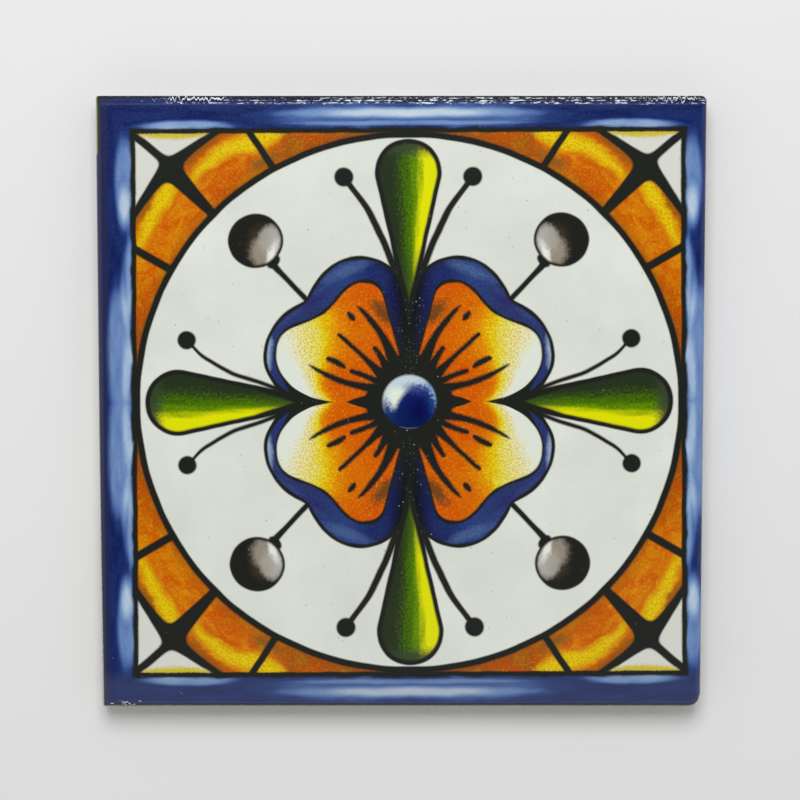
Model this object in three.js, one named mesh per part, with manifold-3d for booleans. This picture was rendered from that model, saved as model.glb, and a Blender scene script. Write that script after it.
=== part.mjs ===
// A square glazed wall tile with a painted face, pressed and fired as one piece of clay.
// Units are millimetres and +Z is up. The tile lies on its back with the painted face up.
// The origin is the middle of the back, +X is the right of the painted face and +Y its top.
import * as THREE from "three";
import { mergeVertices } from "three/addons/utils/BufferGeometryUtils.js";
import Module from "manifold-3d";

// The slab
const tileWidth = 105; // along X
const tileLength = 106; // along Y, a little more than the width
const tileThickness = 6.5;

// The glaze rolls over the rim of the face in a quarter round
const rimRadius = 1.1;
const rimSegments = 6;

// The pressed edge of the back
const backChamfer = 0.5;

// Upright corners, seen from above: the front right one is worn the roundest
const cornerRadii = {
  backRight: 0.9,
  backLeft: 0.5,
  frontLeft: 0.7,
  frontRight: 2.4,
};
const cornerSegments = 6;
const sharpestCorner = 0.05; // what is left of a corner's radius on the flat of the face

// Keying grooves in the back, which the adhesive grips: shallow slots with round ends
const grooveWidth = 5;
const grooveDepth = 0.8;
const grooveLand = 9.5; // the flat land between two grooves
const grooveMargin = 9; // from a groove to the edge of the tile
const grooveEndSegments = 8;

const glaze = new THREE.MeshStandardMaterial({
  color: "#dfe1da",
  roughness: 0.14,
  metalness: 0,
});

const wasm = await Module();
wasm.setup();

// The plan of the tile as one closed ring of points, drawn in from the edge by inset
function planRing(inset) {
  const corners = [
    { x: 1, y: 1, radius: cornerRadii.backRight },
    { x: -1, y: 1, radius: cornerRadii.backLeft },
    { x: -1, y: -1, radius: cornerRadii.frontLeft },
    { x: 1, y: -1, radius: cornerRadii.frontRight },
  ];
  return corners.flatMap(({ x, y, radius }, quarter) => {
    const r = Math.max(radius - inset, sharpestCorner);
    const centreX = x * (tileWidth / 2 - inset - r);
    const centreY = y * (tileLength / 2 - inset - r);
    const arc = new THREE.ArcCurve(
      centreX,
      centreY,
      r,
      (quarter * Math.PI) / 2,
      ((quarter + 1) * Math.PI) / 2,
    );
    return arc.getPoints(cornerSegments);
  });
}

// The levels of the edge from the back to the face, each with its height and its inset
function edgeLevels() {
  const levels = [
    { height: 0, inset: backChamfer },
    { height: backChamfer, inset: 0 },
  ];
  for (let i = 0; i <= rimSegments; i += 1) {
    const turn = (i / rimSegments) * (Math.PI / 2);
    levels.push({
      height: tileThickness - rimRadius * (1 - Math.sin(turn)),
      inset: rimRadius * (1 - Math.cos(turn)),
    });
  }
  return levels;
}

// A closed mesh through the plan rings of the levels, with a flat back and a flat face
function slabGeometry() {
  const levels = edgeLevels();
  const rings = levels.map(({ inset }) => planRing(inset));
  const perRing = rings[0].length;
  const last = (rings.length - 1) * perRing;
  const positions = rings.flatMap((ring, k) =>
    ring.flatMap((point) => [point.x, point.y, levels[k].height]),
  );
  const indices = [];
  for (let k = 0; k < rings.length - 1; k += 1) {
    for (let i = 0; i < perRing; i += 1) {
      const low = k * perRing + i;
      const lowNext = k * perRing + ((i + 1) % perRing);
      indices.push(low, lowNext, lowNext + perRing);
      indices.push(low, lowNext + perRing, low + perRing);
    }
  }
  for (const [a, b, c] of THREE.ShapeUtils.triangulateShape(rings[0], [])) {
    indices.push(a, c, b);
  }
  for (const [a, b, c] of THREE.ShapeUtils.triangulateShape(rings.at(-1), [])) {
    indices.push(last + a, last + b, last + c);
  }
  return new THREE.BufferGeometry()
    .setAttribute("position", new THREE.Float32BufferAttribute(positions, 3))
    .setIndex(indices);
}

// One keying groove along X: a slot with round ends, sunk into the back at the given Y
function grooveGeometry(y) {
  const halfStraight = tileWidth / 2 - grooveMargin - grooveWidth / 2;
  const slot = new THREE.Shape();
  slot.absarc(halfStraight, 0, grooveWidth / 2, -Math.PI / 2, Math.PI / 2);
  slot.absarc(-halfStraight, 0, grooveWidth / 2, Math.PI / 2, (3 * Math.PI) / 2);
  const groove = new THREE.ExtrudeGeometry(slot, {
    depth: 2 * grooveDepth,
    curveSegments: grooveEndSegments,
    bevelEnabled: false,
  });
  return groove.translate(0, y, -grooveDepth);
}

// The Y places of the grooves: as many as fit between the margins, centred on the back
function grooveRows() {
  const pitch = grooveWidth + grooveLand;
  const room = tileLength - 2 * grooveMargin;
  const count = Math.floor((room + grooveLand) / pitch);
  return Array.from({ length: count }, (_, i) => (i - (count - 1) / 2) * pitch);
}

// A three.js geometry as a solid that can be cut
function solidOf(geometry) {
  const bare = geometry.clone().deleteAttribute("normal").deleteAttribute("uv");
  const merged = mergeVertices(bare, 1e-4);
  const mesh = new wasm.Mesh({
    numProp: 3,
    vertProperties: merged.attributes.position.array,
    triVerts: new Uint32Array(merged.index.array),
  });
  return new wasm.Manifold(mesh);
}

// A solid back as a three.js geometry with flat shaded faces
function geometryOf(solid) {
  const { vertProperties, triVerts } = solid.getMesh();
  const geometry = new THREE.BufferGeometry()
    .setAttribute("position", new THREE.BufferAttribute(vertProperties, 3))
    .setIndex(new THREE.BufferAttribute(triVerts, 1))
    .toNonIndexed();
  geometry.computeVertexNormals();
  return geometry;
}

function makeTile() {
  let tile = solidOf(slabGeometry());
  for (const y of grooveRows()) {
    tile = tile.subtract(solidOf(grooveGeometry(y)));
  }
  const mesh = new THREE.Mesh(geometryOf(tile), glaze);
  mesh.name = "glazed_tile";
  return mesh;
}

const part = new THREE.Group();
part.add(makeTile());

export default part;
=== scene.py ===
from math import atan2, ceil, cos, hypot, radians, sin, tan

import bmesh
import bpy
from mathutils import Euler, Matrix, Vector


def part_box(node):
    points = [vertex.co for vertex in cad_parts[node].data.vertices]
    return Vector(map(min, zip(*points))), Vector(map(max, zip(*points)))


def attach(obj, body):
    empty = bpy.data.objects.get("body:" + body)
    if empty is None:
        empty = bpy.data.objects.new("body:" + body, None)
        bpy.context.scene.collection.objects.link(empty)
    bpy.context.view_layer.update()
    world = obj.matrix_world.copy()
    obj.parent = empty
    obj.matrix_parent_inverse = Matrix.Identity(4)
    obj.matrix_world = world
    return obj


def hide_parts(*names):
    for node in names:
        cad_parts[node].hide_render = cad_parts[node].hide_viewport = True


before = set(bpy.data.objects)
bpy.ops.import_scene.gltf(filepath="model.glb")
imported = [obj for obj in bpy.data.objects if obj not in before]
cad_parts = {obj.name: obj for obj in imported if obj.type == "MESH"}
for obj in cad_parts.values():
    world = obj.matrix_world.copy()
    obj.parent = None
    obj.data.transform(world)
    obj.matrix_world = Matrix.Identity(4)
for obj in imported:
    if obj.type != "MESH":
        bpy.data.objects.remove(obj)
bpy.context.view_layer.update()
mm = 0.001  # the scene is in metres, the sizes below in millimetres


# An sRGB hex colour as the linear one that Blender's sockets hold
def paint(hexColour):
    channels = [int(hexColour[i:i + 2], 16) / 255 for i in (1, 3, 5)]
    linear = [c / 12.92 if c <= 0.04045 else ((c + 0.055) / 1.055) ** 2.4 for c in channels]
    return (*linear, 1.0)


# Adds a node with its settings and links, and gives back the output that the next one reads.
# An input is an output to link, a value or a hex colour. points shape a Float Curve, and
# stops a Color Ramp
def add(tree, kind, inputs=(), output=0, points=(), stops=(), **settings):
    node = tree.nodes.new("ShaderNode" + kind)
    for name, value in settings.items():
        setattr(node, name, value)
    if points:
        curve = node.mapping.curves[0]
        node.mapping.use_clip = False
        curve.points[0].location = points[0]
        curve.points[1].location = points[-1]
        for point in points[1:-1]:
            curve.points.new(*point)
        for point in curve.points:
            point.handle_type = "AUTO_CLAMPED"
        node.mapping.update()
    for i, (position, colour) in enumerate(stops):
        if i < 2:
            node.color_ramp.elements[i].position = position
        element = node.color_ramp.elements[i] if i < 2 else node.color_ramp.elements.new(position)
        element.color = paint(colour)
    for key, value in inputs.items() if isinstance(inputs, dict) else enumerate(inputs):
        if isinstance(value, bpy.types.NodeSocket):
            tree.links.new(value, node.inputs[key])
        else:
            node.inputs[key].default_value = paint(value) if isinstance(value, str) else value
    return node.outputs[output] if node.outputs else node


# Lets a colour come in over what is below while a value goes from start to end
def tinge(tree, below, value, colour, start, end, strength=1.0):
    cover = add(tree, "MapRange", [value, start, end, 0.0, strength])
    return add(tree, "Mix", {0: cover, 6: below, 7: colour}, output=2, data_type="RGBA")


# Lays a colour over what is below wherever the distance from its outline is negative
def lay(tree, below, colour, distance, softness=0.13, strength=1.0):
    return tinge(tree, below, distance, colour, softness, -softness, strength)


# Cuts a shape off wherever one of the limits is positive
def cutOff(tree, distance, *limits):
    for limit in limits:
        distance = add(tree, "Math", [distance, limit], operation="MAXIMUM")
    return distance


# Lets an outline stray to both sides by a noise that lies round a half
def fray(tree, distance, noise, amount):
    moved = add(tree, "Math", [noise, amount, distance], operation="MULTIPLY_ADD")
    return add(tree, "Math", [moved, amount / 2], operation="SUBTRACT")


# Shifts a point to and fro in the print's plane, by up to reach mm
def astray(tree, where, reach, perMm, detail, roughness=0.5):
    shift = add(tree, "TexNoise", {"Vector": where, "Scale": perMm, "Detail": detail,
                                   "Roughness": roughness}, output=1)
    shift = add(tree, "VectorMath", [shift, (0.5, 0.5, 0.5)], operation="SUBTRACT")
    return add(tree, "VectorMath", [shift, (2 * reach, 2 * reach, 0.0), where],
               operation="MULTIPLY_ADD")


# The marks that a brush leaves in its paint, so many per mm along each axis
def brushMarks(tree, where, perMm, detail=3.0, roughness=0.5, distortion=0.0):
    drawn = add(tree, "Mapping", {"Vector": where, "Scale": perMm})
    return add(tree, "TexNoise", {"Vector": drawn, "Scale": 1.0, "Detail": detail,
                                  "Roughness": roughness, "Distortion": distortion})


# Darkens and lightens a colour while a value goes from start to end
def mottle(tree, colour, value, start, end, dark, light):
    shade = add(tree, "MapRange", [value, start, end, dark, light])
    return add(tree, "VectorMath", {0: colour, "Scale": shade}, operation="SCALE")


# How far a value is from a middle one, on either side
def apart(tree, value, middle):
    off = add(tree, "Math", [value, middle], operation="SUBTRACT")
    return add(tree, "Math", [off], operation="ABSOLUTE")


# How far a point is outside an oval, as a share of the oval's own halves
def oval(tree, where, centre, halves, turn=0.0):
    local = add(tree, "Mapping", {"Vector": where, "Location": (*centre, 0.0),
                                  "Rotation": (0.0, 0.0, radians(turn)),
                                  "Scale": (*halves, 1.0)}, vector_type="TEXTURE")
    away = add(tree, "VectorMath", [local], output=1, operation="LENGTH")
    return add(tree, "Math", [away, 1.0], operation="SUBTRACT")


# How far a point is outside a brush stroke from start to end. The stroke bows to its left,
# and the half widths are spread evenly along it
def stroke(tree, where, start, end, bow, halfWidths):
    length = hypot(end[0] - start[0], end[1] - start[1])
    turn = atan2(end[1] - start[1], end[0] - start[0])
    local = add(tree, "Mapping", {"Vector": where, "Location": (*start, 0.0),
                                  "Rotation": (0.0, 0.0, turn)}, vector_type="TEXTURE")
    along = add(tree, "SeparateXYZ", [local])
    across = along.node.outputs[1]
    left = add(tree, "Math", [length, along], operation="SUBTRACT")
    arch = add(tree, "Math", [along, left], operation="MULTIPLY")
    side = add(tree, "Math", [arch, -4 * bow / length ** 2, across], operation="MULTIPLY_ADD")
    away = add(tree, "Math", [side], operation="ABSOLUTE")
    steps = len(halfWidths) - 1
    profile = [(i * length / steps, width) for i, width in enumerate(halfWidths)]
    profile = [(-0.3, -0.25), *profile, (length + 0.3, -0.25)]
    reach = add(tree, "FloatCurve", {"Value": along}, points=profile)
    return add(tree, "Math", [away, reach], operation="SUBTRACT")


# How far a point is outside an outline drawn round the pattern's middle, given as its
# radius in mm at angles in degrees
def roundOutline(tree, spot, outline):
    reach = add(tree, "FloatCurve", {"Value": spot["angle"]}, points=outline)
    return add(tree, "Math", [spot["radius"], reach], operation="SUBTRACT")


# The print lies a little off the tile's middle and a little askew, and narrows upwards
printPlace = {
    "centre": (1.395, 0.386),
    "turn": 0.0045,  # radians
    "narrowing": (0.00011, 0.00018),  # of the width and of the height, per mm upwards
    "wobble": 0.16,  # how far the brush strays from its line
    "wobbleSize": 5.0,
    "grain": 0.42,  # the size of the dots that the colours break up into
    "screen": 0.4,  # mm between the dots that the yellows are screened with
}


# The values that every motif is painted from: where the point is in the print
def spotOnPrint(tree):
    place = printPlace
    position = add(tree, "TexCoord", output=3)
    turned = add(tree, "Mapping", {"Vector": position, "Rotation": (0.0, 0.0, place["turn"]),
                                   "Location": [c * mm for c in (*place["centre"], 0.0)],
                                   "Scale": (mm, mm, mm)}, vector_type="TEXTURE")
    x = add(tree, "SeparateXYZ", [turned])
    y = x.node.outputs[1]
    raw = add(tree, "VectorMath", {0: position, "Scale": 1 / mm}, operation="SCALE")
    rawX = add(tree, "SeparateXYZ", [raw])
    spot = {"x": rawX, "y": rawX.node.outputs[1], "z": rawX.node.outputs[2]}
    for name, value, slope in (("u", x, place["narrowing"][0]), ("v", y, place["narrowing"][1])):
        factor = add(tree, "Math", [y, slope, 1.0], operation="MULTIPLY_ADD")
        spot[name] = add(tree, "Math", [value, factor], operation="MULTIPLY")
    flat = add(tree, "CombineXYZ", [spot["u"], spot["v"], 0.0])
    folded = add(tree, "VectorMath", [flat], operation="ABSOLUTE")
    moved = astray(tree, folded, place["wobble"], 1 / place["wobbleSize"], 1.0)
    spot["flat"] = flat
    spot["position"] = position
    spot["folded"] = moved
    spot["fu"] = add(tree, "SeparateXYZ", [moved])
    spot["fv"] = spot["fu"].node.outputs[1]
    spot["radius"] = add(tree, "VectorMath", [moved], output=1, operation="LENGTH")
    turn = add(tree, "Math", [spot["fv"], spot["fu"]], operation="ARCTAN2")
    spot["angle"] = add(tree, "Math", [turn], operation="DEGREES")
    spot["quarter"] = add(tree, "Math", [spot["angle"], 1 / 90], operation="MULTIPLY")
    spot["grain"] = add(tree, "TexNoise", {"Vector": flat, "Scale": 1 / place["grain"],
                                           "Detail": 1.0, "Roughness": 0.6})
    spot["screen"] = add(tree, "TexVoronoi", {"Vector": flat, "Scale": 1 / place["screen"],
                                              "Randomness": 1.0}, voronoi_dimensions="2D")
    return spot


glazeColours = {"white": "#dde3d7", "black": "#20221e"}


# The cobalt border outside the frame line, brushed on in light and dark streaks. Each is an
# oval: its middle along the side and across it from the frame line, its halves, its
# strength, and how deep its edge fades
borderStreaks = {
    "top": [((0, 2.5), (25, 1.2), 0.62, 0.8), ((2, 0.75), (22, 0.5), 0.26, 0.6),
            ((10, 2.0), (18, 2.6), 0.3, 0.5), ((38.5, 0.3), (9.6, 1.25), 0.62, 0.5)],
    "right": [((8.6, 1.9), (13.6, 2.9), 0.5, 0.45), ((5, 0.5), (9, 1.4), 0.25, 0.6),
              ((20.5, 0.4), (8.5, 1.6), 0.3, 0.5),
              ((23, 0.1), (8, 0.9), 0.28, 0.6), ((38.2, 0.8), (9.6, 2.2), 0.48, 0.45),
              ((34.0, 1.0), (4.6, 1.6), 0.34, 0.8)],
    "frameEdge": (48.03, 47.62),
    "lineWidth": 0.95,
    "unlit": 0.03,  # how light the blue is where there is no streak
    "ragged": (0.3, 0.1),  # how much the brush and the grain change that
    "hairs": 0.3,  # mm that the line's outer edge strays
    "overlap": 0.9,  # mm that the blue's edge strays
    "bristles": (0.2, 0.7, 1.0),  # marks of the brush per mm, along and across the border
    "blues": [(0.0, "#101f57"), (1.0, "#ced9e0"), (0.2, "#263d79"), (0.42, "#5471a9"),
              (0.62, "#7694c1"), (0.8, "#a3b9d3")],
    "outerStrip": (51.9, "#262a4c"),  # from here on the left side is slate
    "dullBottom": ("#525a74", -46.0, -48.5, 0.3),  # the bottom side is greyed
}


# How far a point is beyond the right and the top side of a frame round the pattern
def overFrame(tree, spot, frameSides):
    return [add(tree, "Math", [value, side], operation="SUBTRACT")
            for value, side in zip((spot["fu"], spot["fv"]), frameSides)]


def paintBorder(tree, spot, below):
    streaks = borderStreaks
    overRight, overTop = overFrame(tree, spot, streaks["frameEdge"])
    outside = add(tree, "Math", [overRight, overTop], operation="MAXIMUM")
    onTop = add(tree, "Math", [overTop, overRight], operation="GREATER_THAN")
    along = add(tree, "Mix", {0: onTop, 2: spot["fv"], 3: spot["fu"]})
    local = add(tree, "CombineXYZ", [along, outside, 0.0])
    lights = []
    for name in ("top", "right"):
        light = streaks["unlit"]
        for centre, halves, strength, fade in streaks[name]:
            away = oval(tree, local, centre, halves)
            glow = add(tree, "MapRange", [away, 0.12, -fade, 0.0, strength],
                       interpolation_type="SMOOTHSTEP")
            light = add(tree, "Math", [glow, light], operation="ADD")
        lights.append(light)
    light = add(tree, "Mix", {0: onTop, 2: lights[1], 3: lights[0]})
    drag = brushMarks(tree, local, streaks["bristles"], distortion=0.5)
    for noise, amount in zip((drag, spot["grain"]), streaks["ragged"]):
        light = fray(tree, light, noise, amount)
    blue = add(tree, "ValToRGB", [light], stops=streaks["blues"])
    start, slate = streaks["outerStrip"]
    strip = add(tree, "Math", [spot["u"], start], operation="ADD")
    blue = lay(tree, blue, slate, strip, 0.5, 0.9)
    blue = tinge(tree, blue, spot["v"], *streaks["dullBottom"])
    hairy = fray(tree, outside, spot["grain"], streaks["hairs"])
    line = add(tree, "Math", [-streaks["lineWidth"], hairy], operation="SUBTRACT")
    surface = lay(tree, below, glazeColours["black"], line)
    beyond = fray(tree, outside, drag, streaks["overlap"])
    beyond = add(tree, "Math", [0.0, beyond], operation="SUBTRACT")
    return lay(tree, surface, blue, beyond, 0.2)


# The ring of bricks in the spandrels between the white disc and the frame, and the white
# corner triangles
brickRing = {
    "disc": 46.46,  # the white disc's radius on the pattern's U axis
    "squash": 0.68,  # how much less it is on the V axis
    "discLine": 1.15,  # the black line round the disc
    "outer": 56.9,  # where the two whole bricks end
    # a point on a corner triangle's slanting side and the way it faces, for both
    "slants": [((34.5, 46.8), 58.0), ((47.4, 33.8), 31.0)],
    "innerFrame": (47.1, 46.75),
    "triangleFrame": (47.5, 46.9),
    # the black joints: a point in the middle of each, its turn, half width and widening, and
    # how much the bricks are rounded off at it
    "joints": [((25.4, 43.8), 56.5, 0.62, 0.0, 1.2), ((37.0, 36.1), 47.0, 1.2, 0.08, 3.0),
               ((44.4, 25.0), 29.5, 0.72, 0.0, 1.2)],
    "cornerBar": ((44.5, 44.1), 39.8, 0.72),
    # the yellow stripe along the bricks: its radius and half width by angle
    "stripe": [(27, 53.4), (31, 54.0), (36, 54.7), (40, 55.2), (43, 55.7), (46, 53.6),
               (48, 54.1), (52, 54.1), (56, 53.5), (59, 52.5), (63, 52.3), (67, 52.6)],
    "stripeFray": (2.6, 2.0),  # mm, by the brush and by the grain
    "stripeHalf": [(24, -0.6), (28, 0.3), (31, 0.9), (36, 1.1), (41, 1.5), (45, 0.8),
                   (48, 0.95), (52, 1.2), (56, 1.6), (59, 2.1), (62, 1.7), (66, 0.9),
                   (69, -0.8)],
    # by the angle as a share of the quarter
    "clays": [(0.1, "#5e4620"), (0.9, "#5c4a2c"), (0.2, "#ac5506"), (0.31, "#c97405"),
              (0.5, "#c76b04"), (0.54, "#bf5a03"), (0.67, "#c86a03"), (0.72, "#9a540b"),
              (0.8, "#a85607")],
    # what tinges the clay: its colour, from where to where it comes in, and how much
    "redder": ("#c04600", 0.52, 0.38, 0.6),
    "golden": ("#d68f07", 0.52, 0.68, 0.55),
    "flecks": ("#dc9a12", 0.55, 0.72, 0.25),
    "innerSide": ("#8f4a0a", 49.4, 47.4, 0.6),
    "outerSide": ("#7d4a10", 57.6, 59.2, 0.75),
    "yellows": ("#d19c07", "#d9bd08"),
    "dots": [(0.1, "#e9d414"), (0.8, "#bd8406")],  # of the yellow's screen, and between them
    "smear": ((24.9, 41.9), (2.6, 1.1), -30),
    "smearColour": "#75561c",
    "triangle": "#d5d6cd",
    "washFrom": 45.75,
    "washTaper": 0.016,  # how it narrows to both ends
    # the brushed side of a triangle: which way it lies, and the way along it, its middle,
    # its colour, its strength and how much further in it reaches
    "washes": [("fv", "fu", 40.6, "#cdb80a", 0.95, 0.0),
               ("fu", "fv", 40.5, "#5c4a1c", 0.75, -1.35)],
}


# How far a point is outside a straight black joint
def jointEdge(tree, spot, middle, turn, halfWidth, widening=0.0):
    local = add(tree, "Mapping", {"Vector": spot["folded"], "Location": (*middle, 0.0),
                                  "Rotation": (0.0, 0.0, radians(turn))}, vector_type="TEXTURE")
    along = add(tree, "SeparateXYZ", [local])
    away = add(tree, "Math", [along.node.outputs[1]], operation="ABSOLUTE")
    reach = add(tree, "Math", [along, widening, halfWidth], operation="MULTIPLY_ADD")
    return add(tree, "Math", [reach, away], operation="SUBTRACT")


def paintBricks(tree, spot, below):
    ring = brickRing
    # the disc's edge
    sine = add(tree, "Math", [spot["fv"], spot["radius"]], operation="DIVIDE")
    bulge = add(tree, "Math", [sine, 4.0], operation="POWER")
    reach = add(tree, "Math", [bulge, ring["squash"], spot["radius"]], operation="MULTIPLY_ADD")
    beyondDisc = add(tree, "Math", [ring["disc"], reach], operation="SUBTRACT")
    surface = lay(tree, below, glazeColours["black"], beyondDisc)
    # brick colours, by angle and by radius
    sweep = add(tree, "CombineXYZ", [spot["radius"], spot["angle"], 0.0])
    drag = brushMarks(tree, sweep, (0.5, 0.24, 1.0), roughness=0.55, distortion=0.8)
    clay = add(tree, "ValToRGB", [spot["quarter"]], stops=ring["clays"])
    outer = add(tree, "Math", [drag, 5.0, spot["radius"]], operation="MULTIPLY_ADD")
    for name, value in (("redder", drag), ("golden", drag), ("flecks", spot["grain"]),
                        ("innerSide", spot["radius"]), ("outerSide", outer)):
        clay = tinge(tree, clay, value, *ring[name])
    stripeAt = add(tree, "FloatCurve", {"Value": spot["angle"]}, points=ring["stripe"])
    stripeHalf = add(tree, "FloatCurve", {"Value": spot["angle"]}, points=ring["stripeHalf"])
    away = apart(tree, spot["radius"], stripeAt)
    away = add(tree, "Math", [away, stripeHalf], operation="SUBTRACT")
    ragged = fray(tree, away, drag, ring["stripeFray"][0])
    ragged = fray(tree, ragged, spot["grain"], ring["stripeFray"][1])
    clay = lay(tree, clay, ring["yellows"][0], ragged, 0.4)
    ripest = add(tree, "Math", [ragged, 0.75], operation="ADD")
    clay = lay(tree, clay, ring["yellows"][1], ripest, 0.35, 0.9)
    # the yellow is screened with brighter dots on browner gaps
    yellow = add(tree, "MapRange", [ragged, 0.3, -0.7, 0.0, 0.8])
    for far, colour in ring["dots"]:
        dot = add(tree, "MapRange", [spot["screen"], 0.4, far, 0.0, 0.6])
        dot = add(tree, "Math", [dot, yellow], operation="MULTIPLY")
        clay = add(tree, "Mix", {0: dot, 6: clay, 7: colour}, output=2, data_type="RGBA")
    # and a dull smear lies in the lower corner of the upper brick
    smear = fray(tree, oval(tree, spot["folded"], *ring["smear"]), drag, 0.9)
    clay = lay(tree, clay, ring["smearColour"], smear, 0.5, 0.75)
    clay = mottle(tree, clay, spot["grain"], 0.35, 0.65, 0.96, 1.16)
    # where the bricks are: outside the disc's line, inside the frame, off the joints
    edge = add(tree, "Math", [beyondDisc, ring["discLine"]], operation="ADD")
    edge = cutOff(tree, edge, *overFrame(tree, spot, ring["innerFrame"]))
    # the outer arc holds only between the outer joints
    past = add(tree, "Math", [spot["radius"], ring["outer"]], operation="SUBTRACT")
    for *place, rounding in ring["joints"]:
        joint = jointEdge(tree, spot, *place)
        past = add(tree, "Math", [past, joint, rounding], operation="SMOOTH_MAX")
    edge = add(tree, "Math", [edge, past, 0.5], operation="SMOOTH_MAX")
    surface = lay(tree, surface, clay, edge, 0.16)
    # the corner triangles
    sides = []
    for (sideU, sideV), facing in ring["slants"]:
        away = (-cos(radians(facing)), -sin(radians(facing)), 0.0)
        reach = sideU * away[0] + sideV * away[1]
        along = add(tree, "VectorMath", [spot["folded"], away], output=1,
                    operation="DOT_PRODUCT")
        sides.append(add(tree, "Math", [along, reach], operation="SUBTRACT"))
    short = add(tree, "Math", sides, operation="MINIMUM")
    bar = jointEdge(tree, spot, *ring["cornerBar"])
    edge = add(tree, "Math", [short, bar, 2.0], operation="SMOOTH_MAX")
    edge = cutOff(tree, edge, *overFrame(tree, spot, ring["triangleFrame"]))
    surface = lay(tree, surface, ring["triangle"], edge, 0.16)
    # yellow brushed along the frame side of the top triangle, and brown by the side one's
    for across, along, middle, colour, strength, further in ring["washes"]:
        off = add(tree, "Math", [spot[along], middle], operation="SUBTRACT")
        taper = add(tree, "Math", [off, off], operation="MULTIPLY")
        inset = ring["washFrom"] - further
        wash = add(tree, "Math", [inset, spot[across]], operation="SUBTRACT")
        wash = add(tree, "Math", [taper, ring["washTaper"], wash], operation="MULTIPLY_ADD")
        wash = fray(tree, wash, spot["grain"], 1.0)
        surface = lay(tree, surface, colour, cutOff(tree, wash, edge), 0.3, strength)
    return surface


# The four leaves: a round end that narrows to a point in a straight tail
leafShape = {
    "radius": 5.77,
    "centre": 39.86,  # from the pattern's middle
    "tip": 13.0,
    "line": 0.85,  # the black line inside its edge
    "tailFrom": 27.0,
    "thickening": (0.1, 0.02),  # of the line, per mm down a lying and an upright tail
    # half of its width by the distance from the pattern's middle
    "halfWidth": [(13.5, 0.3), (26, 2.8), (38.6, 5.6), (40, 5.7), (42, 5.4), (44, 4.4),
                  (45.6, 2.6)],
    # from the dark side to the light one
    "greens": [(0.24, "#27331d"), (1.0, "#dcdc06"), (0.33, "#2e3f1b"), (0.42, "#3b5c0b"),
               (0.55, "#4a7304"), (0.64, "#6f9202"), (0.7, "#b7c106"), (0.77, "#dfe105")],
    "darkEnds": [(42.2, "#37432c"), (24.5, "#33481c")],  # the round end and the tail
}


def paintLeaves(tree, spot, below):
    leaf = leafShape
    sine = leaf["radius"] / (leaf["centre"] - leaf["tip"])
    cosine = (1 - sine ** 2) ** 0.5
    along = add(tree, "Math", [spot["fu"], spot["fv"]], operation="MAXIMUM")
    beside = add(tree, "Math", [spot["fu"], spot["fv"]], operation="MINIMUM")
    local = add(tree, "CombineXYZ", [beside, along, 0.0])
    local = add(tree, "VectorMath", [local, (0.0, leaf["centre"], 0.0)], operation="SUBTRACT")
    off = add(tree, "VectorMath", [local], output=1, operation="LENGTH")
    flank = add(tree, "VectorMath", [local, (cosine, -sine, 0.0)], output=1,
                operation="DOT_PRODUCT")
    back = add(tree, "VectorMath", [local, (-sine, -cosine, 0.0)], output=1,
               operation="DOT_PRODUCT")
    onTail = add(tree, "Math", [back, 0.0], operation="GREATER_THAN")
    reach = add(tree, "Mix", {0: onTail, 2: off, 3: flank})
    edge = add(tree, "Math", [reach, leaf["radius"]], operation="SUBTRACT")
    surface = lay(tree, below, glazeColours["black"], edge)
    # light on one side: the right of the upright leaves, the bottom of the lying ones
    upright = add(tree, "Math", [spot["fv"], spot["fu"]], operation="GREATER_THAN")
    under = add(tree, "Math", [spot["v"], -1.0], operation="MULTIPLY")
    lateral = add(tree, "Mix", {0: upright, 2: under, 3: spot["u"]})
    width = add(tree, "FloatCurve", {"Value": along}, points=leaf["halfWidth"])
    share = add(tree, "Math", [lateral, width], operation="DIVIDE")
    share = add(tree, "Math", [share, 0.5, 0.5], operation="MULTIPLY_ADD")
    bristles = add(tree, "CombineXYZ", [lateral, along, 0.0])
    drag = brushMarks(tree, bristles, (1.3, 0.14, 1.0), detail=2.0)
    share = fray(tree, share, drag, 0.2)
    speckled = add(tree, "MapRange", [share, 0.45, 0.66, 0.42, 0.08])
    grain = add(tree, "Math", [spot["grain"], 0.5], operation="SUBTRACT")
    share = add(tree, "Math", [grain, speckled, share], operation="MULTIPLY_ADD")
    green = add(tree, "ValToRGB", [share], stops=leaf["greens"])
    (endFrom, endColour), (tailTo, tailColour) = leaf["darkEnds"]
    farEnd = add(tree, "Math", [spot["grain"], 1.6, endFrom], operation="MULTIPLY_ADD")
    farEnd = add(tree, "Math", [farEnd, along], operation="SUBTRACT")
    green = lay(tree, green, endColour, farEnd, 0.9, 0.92)
    nearTip = add(tree, "Math", [along, tailTo], operation="SUBTRACT")
    green = lay(tree, green, tailColour, nearTip, 3.0, 0.7)
    # the line thickens down the tail, so the green ends in a point of its own
    tail = add(tree, "Math", [leaf["tailFrom"], along], operation="SUBTRACT")
    tail = add(tree, "Math", [tail, 0.0], operation="MAXIMUM")
    thicker = add(tree, "Mix", {0: upright, 2: leaf["thickening"][0], 3: leaf["thickening"][1]})
    inner = add(tree, "Math", [tail, thicker, edge], operation="MULTIPLY_ADD")
    inner = add(tree, "Math", [inner, leaf["line"]], operation="ADD")
    return lay(tree, surface, green, inner, 0.2)


# The sprigs beside the leaves: a bent stem with a round head
sprigs = {
    "uprightHead": ((11.1, 39.0), 1.68),
    "uprightStem": [(22.5, 2.2), (25, 3.2), (27, 4.05), (29, 4.95), (31, 5.8), (33, 6.75),
                    (35, 8.1), (38, 10.4)],
    "uprightHalfWidth": 0.58,
    "lyingHead": ((38.4, 10.8), 1.6),
    "lyingStem": [(22.5, 2.2), (26, 3.5), (28, 4.15), (30, 4.85), (32, 5.8), (34, 7.0),
                  (36, 8.35), (37.6, 10.0)],
    "lyingHalfWidth": 0.36,
    "stemColour": "#23231f",
}


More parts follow.
